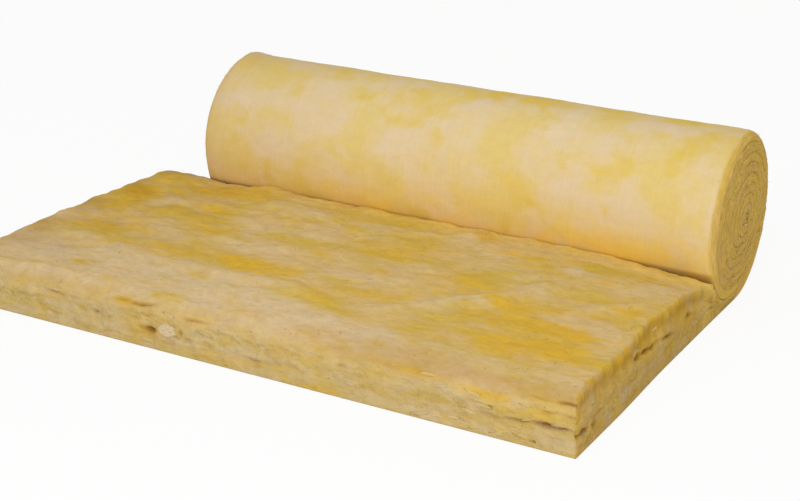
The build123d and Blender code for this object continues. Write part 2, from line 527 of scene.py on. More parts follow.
def split_depth(face, along, height):
    """How deep the splits and holes of a cut face are at one place."""
    depth = 0.0
    for kind, middle, middle_height, reach, reach_up, deepest in PITS:
        if kind == face and abs(along - middle) < 3.0 * reach:
            away = math.hypot((along - middle) / reach, (height - middle_height) / reach_up)
            depth += deepest * bell(away * (1.0 + 0.3 * rough(along * 90.0, height * 90.0, 3.0)), 1.0)
    for kind, start, end, height_0, height_1, deepest, half_width in SPLITS:
        if kind != face or not start - 0.02 < along < end + 0.02:
            continue
        t = (along - start) / (end - start)
        middle = height_0 + (height_1 - height_0) * t + 0.0035 * rough(along * 26.0, height_0 * 90.0, 0.5)
        opening = ease(t, -0.12, 0.25)
        closing = 1.0 - ease(t, 0.75, 1.12)
        if end > BLANKET_WIDTH:
            closing = 1.0
        elif start < CORNER_SPLIT:
            opening = 1.0
        gape = 0.55 + 0.9 * rough(along * 34.0, height_0 * 70.0, 4.5)
        width = half_width * (0.8 + 0.3 * gape)
        depth += deepest * (opening * closing) * max(0.1, gape) * bell(height - middle, width)
    return depth


def layer_relief(along, height, seed):
    """Ledges of the wool's layers on a cut face, standing out by turns."""
    place = height / LAYER + 0.9 * rough(along * 7.0, height * 14.0, seed)
    number = math.floor(place)
    share = ease(place - number, 0.35, 0.65)
    here = rough(along * 9.0, number * 5.3, seed)
    above = rough(along * 9.0, (number + 1) * 5.3, seed)
    ledges = LEDGE * (here + (above - here) * share)
    clumps = CLUMP * (abs(rough(along * 24.0, height * 46.0, seed + 4.0)) - 0.2)
    return ledges + clumps + GRIT * rough(along * 70.0, height * 150.0, seed + 2.0)


def rounded_edges(x, s, z):
    """A place's distance from the nearer side and from the free edge, and its height, once rounded."""
    side, s_new = round_off(min(x, BLANKET_WIDTH - x), s, *CORNER_ROUND)
    side_round = SIDE_ROUND
    if x > BLANKET_WIDTH / 2:
        side_round -= SIDE_ROUND_LOST * ease(s, FLAT_LENGTH, CREASE_LENGTH)
    side, drop = round_off(side, LOFT - z, side_round, side_round)
    sharper = ease(x, 0.80, 1.10)
    front_reach = 0.055 - 0.022 * sharper + 0.065 * ease(x, 0.02, 0.16) * (1.0 - ease(x, 0.35, 0.85))
    front_reach += 0.012 * rough(x * 6.0, 5.5, 0.0)
    s_new, drop = round_off(s_new, drop, front_reach, FRONT_DROP - 0.012 * sharper)
    side, rise = round_off(side, LOFT - drop, FLOOR_ROUND, FLOOR_ROUND)
    s_new, rise = round_off(s_new, rise, FLOOR_ROUND, FLOOR_ROUND)
    return side, s_new, rise


def ragged_side(x, s, z):
    """How far the upper part of a side stands back, unevenly."""
    on_left = x < BLANKET_WIDTH / 2
    side = min(x, BLANKET_WIDTH - x)
    seed = 15.0 if on_left else 25.0
    ragged = 0.45 + 0.6 * rough(s * 11.0, z * 6.0, seed) + 0.35 * rough(s * 45.0, z * 20.0, seed)
    lean = ease(z, 0.045, 0.095) * (1.0 - ease(side, 0.0, 0.06)) * (1.0 - ease(s, FLAT_LENGTH, CREASE_LENGTH))
    return (RAGGED_LEFT if on_left else RAGGED_RIGHT) * max(0.0, ragged) * lean


def flat_place(u, v, w):
    """Where a point of the unit block goes, and its place in the blanket before that."""
    x = between(WIDTH_STOPS, u)[0]
    s = between(LENGTH_STOPS, v)[0]
    z = w * LOFT
    lay = (x, s, z)
    side, s_new, rise = rounded_edges(x, s, z)
    foot = FOOT_BULGE * (1.0 - ease(z, 0.012, 0.055))
    s_new -= foot * (1.0 - ease(s, 0.0, 0.03))
    side -= foot * (1.0 - ease(min(x, BLANKET_WIDTH - x), 0.0, 0.03)) * (1.0 - ease(s, 0.15, 0.40))
    side += ragged_side(x, s, z)
    x_new = side if x < BLANKET_WIDTH / 2 else BLANKET_WIDTH - side
    height = rise / LOFT
    relief = top_relief(x, s, fold_height(x, s)) * ease(height, 0.0, 1.0)
    if s_new <= FLAT_LENGTH:
        return Vector((LEFT + x_new, FREE_EDGE + s_new, height * LOFT + relief)), lay
    past = s_new - FLAT_LENGTH
    roll_y, roll_z = between(UNDER_ROLL, past)
    swing = math.radians(TOP) * past / FALL_LENGTH
    tail_y, tail_z = CREST + LOFT * math.sin(swing), max(LOFT * math.cos(swing), TAIL_END)
    k = ease(x, *TAIL_TO_ROLL)
    y = tail_y + (roll_y - tail_y) * k
    top = tail_z + (roll_z - tail_z) * k
    return Vector((LEFT + x_new, y, height * top + relief * min(1.0, top / LOFT))), lay


def cut_block(bm, axis, cuts):
    """Cuts every edge of the unit block that still runs its whole length along one axis."""
    edges = [e for e in bm.edges if abs((e.verts[0].co - e.verts[1].co)[axis]) > 0.9]
    bmesh.ops.subdivide_edges(bm, edges=edges, cuts=cuts, use_grid_fill=True)


def fine_block():
    """The unit block, cut finely, with its hidden underside and back as plain faces."""
    bm = bmesh.new()
    bmesh.ops.create_cube(bm, size=1.0)
    bmesh.ops.translate(bm, verts=bm.verts, vec=(0.5, 0.5, 0.5))
    for axis, cuts in enumerate((WIDTH_CUTS, LENGTH_CUTS, HEIGHT_CUTS)):
        cut_block(bm, axis, cuts)
    underside = [f for f in bm.faces if all(p.co.z < TINY for p in f.verts)]
    bmesh.ops.dissolve_faces(bm, faces=underside)
    back = [f for f in bm.faces if all(p.co.y > 1.0 - TINY for p in f.verts)
            and all(between(WIDTH_STOPS, p.co.x)[0] > FLAT_BACK for p in f.verts)]
    bmesh.ops.dissolve_faces(bm, faces=back)
    bm.verts.index_update()
    return bm


def cut_relief(place, front, right, left):
    """Depth of the splits, height of the ledges and strength of the patches on the cut faces."""
    x, s, z = place
    split, ledge, patch = 0.0, 0.0, 0.0
    faces = (("front", front, x, 1.0), ("side", right, s, 21.0), ("left", left, s, 41.0))
    for face, amount, along, seed in faces:
        if amount:
            split += amount * split_depth(face, along, z)
            ledge += amount * layer_relief(along, z, seed)
            patch += amount * patch_strength(CUT_PATCHES[face], along, z)
    return split, ledge, patch


def flat_shade(place, normal, cut, right):
    """Shade at the far left, over the rolled free edge, on the right side and in the crease."""
    x, s, z = place
    far_left = LEFT_SHADE * (1.0 - ease(x, 0.0, 0.50)) + LEFT_EDGE_SHADE * (1.0 - ease(x, 0.0, 0.09))
    shade = far_left * (1.0 + 1.2 * rough(x * 9.0, s * 14.0, 22.0)) * (1.0 - cut)
    turning = 2.0 * max(0.0, -normal.y) * max(0.0, normal.z) * (1.0 - ease(s, 0.08, 0.16))
    shade += (TURNING_SHADE + TURNING_SHADE_RIGHT * ease(x, 0.60, 0.90)) * turning
    before_crease = 1.0 - ease(s, FLAT_LENGTH, CREASE_LENGTH)
    band = before_crease * bell(z - SIDE_BAND_HEIGHT, 0.010)
    shade += right * (SIDE_SHADE + SIDE_BAND_SHADE * band)
    under_roll = ease(x, ROLL_LEFT_INSET + 0.004, ROLL_LEFT_INSET + 0.030) * (1.0 - cut)
    return shade + CREASE_SHADE * ease(s, CREASE_LENGTH - 0.006, CREASE_LENGTH + 0.002) * under_roll


def flat_paleness(place, cut):
    """Paler wool on the rolled free edge, on the folds' ridges and in the pale patches."""
    x, s, z = place
    reach = 0.045 + 0.085 * (1.0 - ease(x, 0.40, 0.95)) + 0.024 * rough(x * 6.0, 9.1, 0.0)
    rolled = ROLLED_PALE * (1.0 - ease(s, reach - 0.01, reach + 0.04)) * ease(s + z, 0.055, 0.095)
    rolled *= 1.0 - 0.45 * ease(x, 0.78, 1.00)
    ridge = RIDGE_PALE * fold_height(x, s) * (1.0 - cut)
    return max(rolled, ridge, patch_strength(PALE_PATCHES, x, s))


def make_flat_blanket(material):
    """The flat part, shaped from a block, with cut faces that are torn into layers."""
    bm = fine_block()
    lays = []
    for point in bm.verts:
        point.co, lay = flat_place(*point.co)
        lays.append(lay)
    bm.normal_update()
    normals = [point.normal.copy() for point in bm.verts]
    torn, painted_shade, deep, pale, painted_bounce = [], [], [], [], []
    for point, normal, place in zip(bm.verts, normals, lays):
        x, s, z = place
        front = 1.0 - ease(s, 0.0, FACE_REACH)
        right = 1.0 - ease(BLANKET_WIDTH - x, 0.0, FACE_REACH)
        left = 1.0 - ease(x, 0.0, FACE_REACH)
        cut = max(front, right, left)
        uneven = 0.014 * rough(x * 9.0, z * 30.0 + s * 9.0, 18.0)
        below = 1.0 - ease(z + uneven, LOFT - 0.055, LOFT - 0.006 + 0.004 * ease(x, 0.70, 0.95))
        above_floor = ease(z, 0.0, 0.010)
        split, ledge, patch = cut_relief(place, front, right, left)
        if normal.z > -0.5:
            ledge *= 1.0 - 0.6 * front * right
            shrink = min(1.0, point.co.z / LOFT * 3.0)
            point.co += normal * (ledge * below * above_floor * shrink - split * above_floor)
        torn.append(cut * below)
        # Painted shade in the splits, between the ledges and where flat_shade puts it.
        recess = RECESS_SHADE * cut * below * ease(-ledge, 0.0002, 0.0035)
        shade = split / DARK_DEPTH + recess + flat_shade(place, normal, cut, right)
        painted_shade.append(min(1.0, max(0.0, shade)))
        deep.append(patch_strength(DEEP_PATCHES, x, s) * (1.0 - cut) + patch + SIDE_DEEP * right)
        pale.append(flat_paleness(place, cut))
        # Painted bounce light: brighter, more saturated wool on the top just before the crease.
        near_crease = ease(s, CREASE_LENGTH - 0.09, CREASE_LENGTH - 0.01)
        painted_bounce.append(CREASE_BOUNCE * near_crease * ease(x, 0.08, 0.14))
    for point in bm.verts:
        point.co.z = max(point.co.z, 0.0)
    values = {"lay": lays, "torn": torn, "painted_shade": painted_shade, "deep": deep, "pale": pale, "painted_bounce": painted_bounce}
    return finish_piece("flat_blanket", bm, values, material)


# Wound part of the blanket

OUTER_STEP = 0.0042  # between the cuts along the outer turn
INNER_STEP = 0.0032  # between the cuts along the inner turns
SKIN_STEPS = 230  # cuts across the outer turn's skin, from one end of the roll to the other
RIM_SHARES = [0.0, 0.02, 0.07, 0.14, 0.23, 0.34, 0.46, 0.58, 0.70, 0.82, 0.92, 1.0]
EDGE_SHARES = [0.0, 0.04, 0.10, 0.18, 0.28, 0.40, 0.52, 0.64, 0.75, 0.84, 0.91, 0.96, 1.0]
LEAST_RIM = 0.0015  # the rims' round where the outer turn runs into the flat part
EYE_RISE = 0.004  # the innermost turn closes this far above the roll's axis
SWAY = 0.0022  # the inner turns stray about this far from round
WOUND_LOFT = 0.5  # the wool's grain across a turn, as a share of that across the free loft

# Painted shade, deeper yellow and painted bounce light of the roll, where 1 is full
RIM_SHADE = 0.13  # at the left rim
ROLL_LEFT_SHADE = 0.10  # fading to the roll's middle
ROLL_CREASE_SHADE = 0.6
ROLL_TOP_SHADE = 0.07
SEAM_SHADE = 0.2  # in under the outer turn
INNER_SEAM_SHADE = 0.16  # between the inner turns
INNER_SEAM_MORE = 0.16  # and more towards the eye
TOP_DEEP = 0.45  # in a band along the top
TOP_DEEP_ANGLE = 84.0
# painted bounce light: brighter, more saturated wool low on the roll's front, over the crease
FRONT_BOUNCE = 0.95  # low on the front


def turned_edge(number, share, angle, right):
    """How far a turn's edge stands back from the roll's end, across its thickness."""
    way = math.radians(angle)
    open_groove = 0.5 + 0.9 * rough(number * 2.3 + 2.0 * math.cos(way), 2.0 * math.sin(way), 6.6)
    lip = (0.0010 + 0.0008 * ease(number, 1, 5)) * max(0.15, open_groove) * abs(2.0 * share - 1.0) ** 3
    if number > 0:
        return lip
    rim = RIGHT_RIM_ROUND if right else LEFT_RIM_ROUND
    rim = LEAST_RIM + (rim - LEAST_RIM) * ease(angle, -80.0, 20.0) * (1.0 - ease(angle, 190.0, 232.0))
    reach = max(0.0, 1.0 - share * TURN / rim)
    return rim * (1.0 - math.sqrt(max(0.0, 1.0 - reach * reach))) + lip * ease(share, 0.5, 1.0)


def wound_length(number, angle):
    """How far along the wool a place on a turn is, from the outer turn's start."""
    outside = 2.0 * math.pi * number * (ROLL_RADIUS - TURN * (number - 1) / 2.0)
    return outside + math.radians(angle - BACK_BOTTOM) * (ROLL_RADIUS - number * TURN)


def end_relief(number, share, angle, right):
    """Unevenness of a roll's end: the turns stand out unevenly, with short tufts along them."""
    seed = 3.0 if right else 13.0
    along = wound_length(number, angle)
    shift = 0.0013 * rough(along * 3.0, seed, 0.0)
    tufts = 0.0014 * rough(along * 42.0, share * 5.0, seed)
    tufts += 0.0009 * rough(along * 120.0, share * 12.0, seed)
    return shift + tufts


def rim_bump(x, angle):
    """A soft bump that stands out of the left rim, at the roll's top."""
    return 0.0065 * bell(x - ROLL_LEFT - 0.014, 0.018) * bell(angle - 99.0, 26.0)


def end_point(number, share, station, right):
    """A point on a turn's edge at one end: across its thickness by share, at a station along it."""
    angle, run = station
    outer_y, outer_z, way_y, way_z = on_turn(number, angle, run)
    if number < FULL_TURNS:
        inner_y, inner_z = on_turn(number + 1, angle, run)[:2]
    else:
        inner_y, inner_z = ROLL_LINE, AXIS_HEIGHT + EYE_RISE
    y = outer_y + (inner_y - outer_y) * share
    z = outer_z + (inner_z - outer_z) * share
    from_axis = math.hypot(y - ROLL_LINE, z - AXIS_HEIGHT)
    inside = 1.0 - min(1.0, from_axis / ROLL_RADIUS)
    sway = SWAY * (1.0 if number else share) * math.sqrt(inside)
    y += sway * rough(y * 16.0, z * 16.0, 31.0)
    z += sway * rough(y * 16.0, z * 16.0, 37.0)
    stand_back = turned_edge(number, share, angle, right)
    loose = end_relief(number, share, angle, right) * (1.0 if number else ease(share, 0.1, 0.8))
    if number == 0 and not right:
        lift = rim_bump(ROLL_LEFT + stand_back, angle) * (1.0 - share)
        y += lift * way_y
        z += lift * way_z
    if right:
        return Vector((RIGHT + END_BULGE * inside - stand_back + loose, y, max(z, 0.0)))
    return Vector((ROLL_LEFT + stand_back - loose, y, max(z, 0.0)))


def sweep(bm, ring, stations, place):
    """Draws a closed ring of points on from station to station, with both its ends closed.

    The faces are then put in the order of their points, so that each run gives the same mesh.
    """
    fresh = bmesh.ops.create_circle(bm, cap_ends=True, radius=1.0, segments=ring)["verts"]
    edges = bm.edges[:]
    for station in stations:
        for k, vert in enumerate(fresh):
            vert.co = place(station, k)
        if station is not stations[-1]:
            made = bmesh.ops.extrude_edge_only(bm, edges=edges)["geom"]
            fresh = [g for g in made if isinstance(g, bmesh.types.BMVert)]
            own = set(fresh)
            edges = [g for g in made if isinstance(g, bmesh.types.BMEdge)]
            edges = [e for e in edges if e.verts[0] in own and e.verts[1] in own]
    bmesh.ops.contextual_create(bm, geom=edges)
    bm.verts.index_update()
    count = len(bm.verts)

    def order(face):
        first, second, third = sorted(v.index for v in face.verts)[:3]
        return (first * count + second) * count + third

    bm.faces.sort(key=order)


def skin_relief(x, angle):
    """The outer turn's skin: soft swells, fine ribs round the roll and a crease near its left end."""
    a = math.radians(angle)
    around = Vector((math.cos(a), math.sin(a)))
    swells = 0.0014 * rough(x * 6.0, around.x * 1.3, around.y * 1.3)
    dents = 0.0005 * rough(x * 30.0, around.x * 6.0, around.y * 6.0)
    ribs = 0.00025 * rough(x * 190.0, around.x * 2.0, around.y * 2.0)
    crease = -0.0014 * bell(x - (ROLL_LEFT + 0.046 + 0.004 * around.x), 0.004)
    return swells + dents + ribs + crease


def outer_share(k):
    """How far in from the skin the k-th point round the outer turn lies, as a share of a turn."""
    if k < len(RIM_SHARES):
        return RIM_SHARES[len(RIM_SHARES) - 1 - k]
    if k >= len(RIM_SHARES) + SKIN_STEPS - 1:
        return RIM_SHARES[k - len(RIM_SHARES) - SKIN_STEPS + 1]
    return 0.0


def outer_point(station, k):
    """The k-th point round the outer turn: in at the right end, along the skin, in at the left end."""
    if k < len(RIM_SHARES):
        return end_point(0, outer_share(k), station, True)
    if k >= len(RIM_SHARES) + SKIN_STEPS - 1:
        return end_point(0, outer_share(k), station, False)
    angle, run = station
    t = (k - len(RIM_SHARES) + 1) / SKIN_STEPS
    point = end_point(0, 0.0, station, True).lerp(end_point(0, 0.0, station, False), t)
    way_y, way_z = on_turn(0, angle, run)[2:]
    lift = skin_relief(point.x, angle) * ease(t, 0.0, 0.02) * (1.0 - ease(t, 0.98, 1.0))
    lift += rim_bump(point.x, angle)
    point.y += way_y * lift
    point.z = max(0.0, point.z + way_z * lift)
    return point


def make_outer_turn(material):
    """The outer turn, with its skin cut finely and its edges rounded."""
    ring = 2 * len(RIM_SHARES) + SKIN_STEPS - 1
    stations = turn_stations(0, OUTER_STEP) + [(FRONT_BOTTOM, 1.0)]
    bm = bmesh.new()
    sweep(bm, ring, stations, outer_point)
    bmesh.ops.recalc_face_normals(bm, faces=bm.faces)
    lays, torn, painted_shade, deep, painted_bounce = [], [], [], [], []
    for i, point in enumerate(bm.verts):
        angle = stations[i // ring][0]
        share = outer_share(i % ring)
        x = point.co.x
        lays.append((x, math.radians(angle - BACK_BOTTOM) * ROLL_RADIUS, share * LOFT * WOUND_LOFT))
        torn.append(ease(share, 0.04, 0.22))
        skin = 1.0 - torn[-1]
        # Painted shade: at the left rim and towards the left, in the crease, over the top and in under the
        # outer turn.
        shade = RIM_SHADE * bell(x - ROLL_LEFT, 0.035)
        shade += ROLL_LEFT_SHADE * (1.0 - ease(x, ROLL_LEFT, LEFT + 0.5))
        shade += ROLL_CREASE_SHADE * ease(angle, CREASE_ANGLE - 2.0, CREASE_ANGLE + 1.5)
        shade += ROLL_TOP_SHADE * bell(angle - TOP, 16.0)
        painted_shade.append(shade * skin + SEAM_SHADE * ease(share, 0.85, 1.0))
        band = bell(angle - TOP_DEEP_ANGLE, 20.0) * ease(x, LEFT + 0.3, LEFT + 0.8)
        deep.append(TOP_DEEP * band * skin)
        # Painted bounce light low on the roll's front, just above the crease, weaker towards the left.
        low = 1.0 - ease(point.co.z, 0.085, 0.200) if point.co.y < ROLL_LINE else 0.0
        painted_bounce.append(FRONT_BOUNCE * low * skin * (0.45 + 0.55 * ease(x, LEFT + 0.1, LEFT + 0.7)))
    values = {"lay": lays, "torn": torn, "painted_shade": painted_shade, "deep": deep, "pale": 0.0, "painted_bounce": painted_bounce}
    return finish_piece("outer_turn", bm, values, material)


def inner_share(k):
    """How far across a turn the k-th point round it lies, over the right end and back at the left."""
    count = len(EDGE_SHARES)
    return EDGE_SHARES[count - 1 - k] if k < count else EDGE_SHARES[k - count]


def inner_point(station, k):
    """The k-th point round an inner turn, at a station that also names the turn."""
    return end_point(station[0], inner_share(k), station[1:], k < len(EDGE_SHARES))


def make_inner_turns(material):
    """All the turns inside the outer one, of which only the edges show on the roll's ends."""
    ring = 2 * len(EDGE_SHARES)
    stations = []
    for number in range(1, FULL_TURNS + 1):
        stations += [(number, *station) for station in turn_stations(number, INNER_STEP)]
    bm = bmesh.new()
    sweep(bm, ring, stations, inner_point)
    bmesh.ops.recalc_face_normals(bm, faces=bm.faces)
    lays, painted_shade = [], []
    for i, point in enumerate(bm.verts):
        share = inner_share(i % ring)
        lays.append((point.co.x, (i // ring) * INNER_STEP, share * LOFT * WOUND_LOFT))
        number = stations[i // ring][0]
        # Painted shade along the seams between the turns, more towards the eye.
        seam = INNER_SEAM_SHADE + INNER_SEAM_MORE * ease(number, 1, 5)
        painted_shade.append(seam * abs(2.0 * share - 1.0) ** 4)
    values = {"lay": lays, "torn": 1.0, "painted_shade": painted_shade, "deep": 0.0, "pale": 0.0, "painted_bounce": 0.0}
    return finish_piece("inner_turns", bm, values, material)


# Wool's colours, as red, green and blue from 0 to 255 on a screen: main, cloud, deep, pale, and painted
# bounce light
FLAT_COLOURS = ((220, 187, 76), (227, 196, 136), (230, 186, 48), (230, 209, 174), (255, 221, 112))
ROLL_COLOURS = ((242, 218, 142), (243, 222, 186), (241, 211, 96), (245, 228, 200), (255, 218, 94))
END_COLOURS = ((230, 195, 92), (226, 190, 114), (224, 178, 52), (232, 206, 138), (230, 195, 92))
# The same on cut faces: main and cloud
CUT_COLOURS = ((213, 187, 112), (216, 195, 150))
CUT_END_COLOURS = ((230, 195, 92), (226, 190, 114))
# The colour that painted shade mixes towards
SHADE = (148, 98, 26)
DARK_TINT = (0.72, 0.66, 0.52, 1.0)
LIGHT_TINT = (1.06, 1.06, 1.08, 1.0)
DEEP_WEIGHT = 0.26
SHADE_WEIGHT = 0.8
SHEEN = 0.07
SHEEN_TINT = (1.0, 0.86, 0.55, 1.0)
GLOSS = 0.1

# Grains of each pattern in a metre along the blanket's width, its length and its thickness
CUT_CLOUDS = (14.0, 14.0, 46.0)
CUT_STREAKS = (24.0, 24.0, 140.0)
FLUFF = (38.0, 60.0, 60.0)
SWIRLS = 8.0  # bends of the clouds in a metre
WAVERS = 26.0  # bends of the streaks in a metre
FLATTENED = 0.3  # bends reach this much less far through the thickness
# The clouds' pattern is read elsewhere, and at another scale, for the deeper patches and the wisps
PATCH_SHIFT = (3.1, 1.7, 0.6)
WISP_SHIFT = (7.7, 5.2, 1.9)
PATCH_SCALE = 1.4
WISP_SCALE = 0.9
FELT_ANGLES = (24.0, -31.0)  # two lays of fibres cross at these angles in degrees


def screen_colour(colour):
    """Turns a screen colour into the plain light values that shaders use."""
    parts = [c / 255.0 for c in colour]
    return (*[p / 12.92 if p < 0.04045 else ((p + 0.055) / 1.055) ** 2.4 for p in parts], 1.0)


class Paint:
    """Builds one material, a named step at a time. A step's parts are numbers or other steps."""

    def __init__(self, name):
        self.material = bpy.data.materials.new(name)
        self.material.use_nodes = True
        self.tree = self.material.node_tree
        self.shader = self.tree.nodes["Principled BSDF"]

    def feed(self, socket, value):
        """Sets a socket, or links it to an earlier step."""
        if isinstance(value, bpy.types.NodeSocket):
            self.tree.links.new(value, socket)
        else:
            socket.default_value = value

    def attribute(self, name, output="Fac"):
        """Reads an attribute of the mesh."""
        node = self.tree.nodes.new("ShaderNodeAttribute")
        node.attribute_name = name
        return node.outputs[output]

    def math(self, operation, a, b):
        """Works out one number from two."""
        node = self.tree.nodes.new("ShaderNodeMath")
        node.operation = operation
        self.feed(node.inputs[0], a)
        self.feed(node.inputs[1], b)
        return node.outputs[0]

    def vector(self, operation, a, b):
        """Works out one vector from two."""
        node = self.tree.nodes.new("ShaderNodeVectorMath")
        node.operation = operation
        self.feed(node.inputs[0], a)
        self.feed(node.inputs[1], b)
        return node.outputs[0]

    def turned(self, place, degrees):
        """The same place turned round the upright axis."""
        node = self.tree.nodes.new("ShaderNodeVectorRotate")
        node.rotation_type = "Z_AXIS"
        self.feed(node.inputs["Vector"], place)
        node.inputs["Angle"].default_value = math.radians(degrees)
        return node.outputs[0]

    def drifted(self, place, scale, reach):
        """The same place moved about a little, so that patterns on it bend and curl."""
        drift = self.noise(place, (scale, scale, scale), 1.0, 0.5, "Color")
        drift = self.vector("MULTIPLY", self.vector("SUBTRACT", drift, (0.5, 0.5, 0.5)), reach)
        return self.vector("ADD", place, drift)

    def noise(self, place, stretch, detail=3.0, roughness=0.5, output="Fac"):
        """Cloudy noise, stretched each way."""
        node = self.tree.nodes.new("ShaderNodeTexNoise")
        self.feed(node.inputs["Vector"], self.vector("MULTIPLY", place, stretch))
        node.inputs["Scale"].default_value = 1.0
        node.inputs["Detail"].default_value = detail
        node.inputs["Roughness"].default_value = roughness
        return node.outputs[output]

    def step(self, value, start, end):
        """Goes smoothly from 0 to 1 as the value goes from start to end."""
        node = self.tree.nodes.new("ShaderNodeMapRange")
        node.interpolation_type = "SMOOTHSTEP"
        self.feed(node.inputs["Value"], value)
        node.inputs["From Min"].default_value = start
        node.inputs["From Max"].default_value = end
        return node.outputs[0]

    def mix(self, share, a, b, way="MIX"):
        """Mixes two colours."""
        node = self.tree.nodes.new("ShaderNodeMix")
        node.data_type = "RGBA"
        node.blend_type = way
        self.feed(node.inputs[0], share)
        self.feed(node.inputs[6], a)
        self.feed(node.inputs[7], b)
        return node.outputs[2]

    def blend(self, share, a, b):
        """Mixes two numbers."""
        node = self.tree.nodes.new("ShaderNodeMix")
        self.feed(node.inputs[0], share)
        self.feed(node.inputs[2], a)
        self.feed(node.inputs[3], b)
        return node.outputs[0]

    def bump(self, height, strength, distance):
        """Fine relief in the surface's shading."""
        node = self.tree.nodes.new("ShaderNodeBump")
        node.inputs["Strength"].default_value = strength
        node.inputs["Distance"].default_value = distance
        self.feed(node.inputs["Height"], height)
        return node.outputs[0]


def wool(name, colours, cut_colours, clouds, cloud_soft, cloud_detail, streaks, fibres, swirl_reach,
         waver, strokes, deep_start, light, cut_light, fluff_light, felt_light, bump_depth):
    """Glass wool: clouds of cream and yellow, deeper patches, pale wisps and a felt of fibres, with painted
    shade and painted bounce light where the mesh asks for them.

    The stretches clouds, streaks and fibres say how many grains of that pattern there are in a
    metre along the blanket's width, its length and its thickness.
    """
    paint = Paint(name)
    main, cloudy, deepest, pale, painted_bounce = [screen_colour(c) for c in colours]
    cut_main, cut_cloudy = [screen_colour(c) for c in cut_colours]
    lay = paint.attribute("lay", "Vector")
    torn = paint.attribute("torn")
    swirl = paint.drifted(lay, SWIRLS, (swirl_reach, swirl_reach, FLATTENED * swirl_reach))
    grain = paint.drifted(lay, WAVERS, (waver, waver, FLATTENED * waver))

    cloud = paint.noise(swirl, clouds, 6.0, cloud_detail)
    cloud = paint.blend(torn, cloud, paint.noise(swirl, CUT_CLOUDS, 7.0, 0.68))
    patch_place = paint.vector("ADD", swirl, PATCH_SHIFT)
    patch = paint.noise(patch_place, [c * PATCH_SCALE for c in clouds], 6.0, cloud_detail)
    streak = paint.noise(grain, streaks, 4.0, 0.62)
    streak = paint.blend(torn, streak, paint.noise(grain, CUT_STREAKS, 6.0, 0.68))
    wisp_place = paint.vector("ADD", swirl, WISP_SHIFT)
    wisp = paint.noise(wisp_place, [c * WISP_SCALE for c in clouds], 6.0, cloud_detail)
    fluff = paint.noise(grain, FLUFF, 6.0, 0.66)
    felt_a, felt_b = [paint.noise(paint.turned(grain, angle), fibres, 3.0, 0.6) for angle in FELT_ANGLES]
    felt = paint.math("MAXIMUM", felt_a, felt_b)

    cloud_share = paint.step(cloud, 0.5 - cloud_soft, 0.5 + cloud_soft)
    free_colour = paint.mix(cloud_share, main, cloudy)
    cut_colour = paint.mix(cloud_share, cut_main, cut_cloudy)
    colour = paint.mix(torn, free_colour, cut_colour)
    wisp_share = paint.math("MULTIPLY", paint.step(wisp, 0.54, 0.70), paint.blend(torn, 0.6, 0.3))
    colour = paint.mix(wisp_share, colour, pale)
    pale_share = paint.math("MULTIPLY", paint.attribute("pale"), paint.step(patch, 0.30, 0.50))
    colour = paint.mix(paint.math("MULTIPLY", pale_share, 0.85), colour, pale)
    deep = paint.math("MULTIPLY", paint.attribute("deep"), DEEP_WEIGHT)
    deep = paint.math("ADD", deep, paint.blend(strokes, patch, streak))
    deep_share = paint.step(deep, deep_start, deep_start + 0.24)
    deep_share = paint.math("MULTIPLY", deep_share, paint.blend(torn, 0.9, 0.45))
    colour = paint.mix(deep_share, colour, deepest)
    # Painted bounce light, in patches, where the mesh asks for it.
    bounce_share = paint.math("MULTIPLY", paint.attribute("painted_bounce"), paint.step(patch, 0.66, 0.40))
    colour = paint.mix(bounce_share, colour, painted_bounce)
    # The streaks, fluff and felt that make the bump also darken their low parts and lighten their high ones:
    # partly the wool's own uneven tone, partly painted shade in the crevices between tufts.
    brightness = paint.math("SUBTRACT", streak, 0.5)
    brightness = paint.math("MULTIPLY", brightness, paint.blend(torn, light, cut_light))
    fluffed = paint.math("MULTIPLY", paint.math("SUBTRACT", fluff, 0.5), fluff_light)
    felted = paint.math("MULTIPLY", paint.step(felt, 0.34, 0.56), felt_light)
    brightness = paint.math("ADD", brightness, paint.math("ADD", fluffed, felted))
    tint = paint.mix(paint.step(brightness, -0.25, 0.30 + felt_light), DARK_TINT, LIGHT_TINT)
    colour = paint.mix(1.0, colour, tint, "MULTIPLY")
    # Painted shade, as the mesh gives it.
    shade_share = paint.math("MULTIPLY", paint.attribute("painted_shade"), SHADE_WEIGHT)
    colour = paint.mix(shade_share, colour, screen_colour(SHADE))
    paint.feed(paint.shader.inputs["Base Color"], colour)

    height = paint.math("ADD", paint.math("MULTIPLY", streak, 0.4), paint.math("MULTIPLY", felt, 0.2))
    height = paint.math("ADD", height, paint.math("MULTIPLY", fluff, 1.4))
    height = paint.math("MULTIPLY", height, paint.math("ADD", torn, 1.0))
    paint.feed(paint.shader.inputs["Normal"], paint.bump(height, 1.0, bump_depth))
    covered = paint.math("MAXIMUM", torn, paint.attribute("painted_shade"))
    paint.feed(paint.shader.inputs["Sheen Weight"], paint.blend(covered, SHEEN, 0.0))
    paint.shader.inputs["Sheen Tint"].default_value = SHEEN_TINT
    paint.shader.inputs["Sheen Roughness"].default_value = 0.6
    paint.shader.inputs["Roughness"].default_value = 0.9
    paint.feed(paint.shader.inputs["Specular IOR Level"], paint.blend(covered, GLOSS, 0.0))
    return paint.material


# Loose tufts and fibres

Tuft = namedtuple("Tuft", "place along out size ragged lay deep pale")
Fibre = namedtuple("Fibre", "place out lay lean length pale deep")

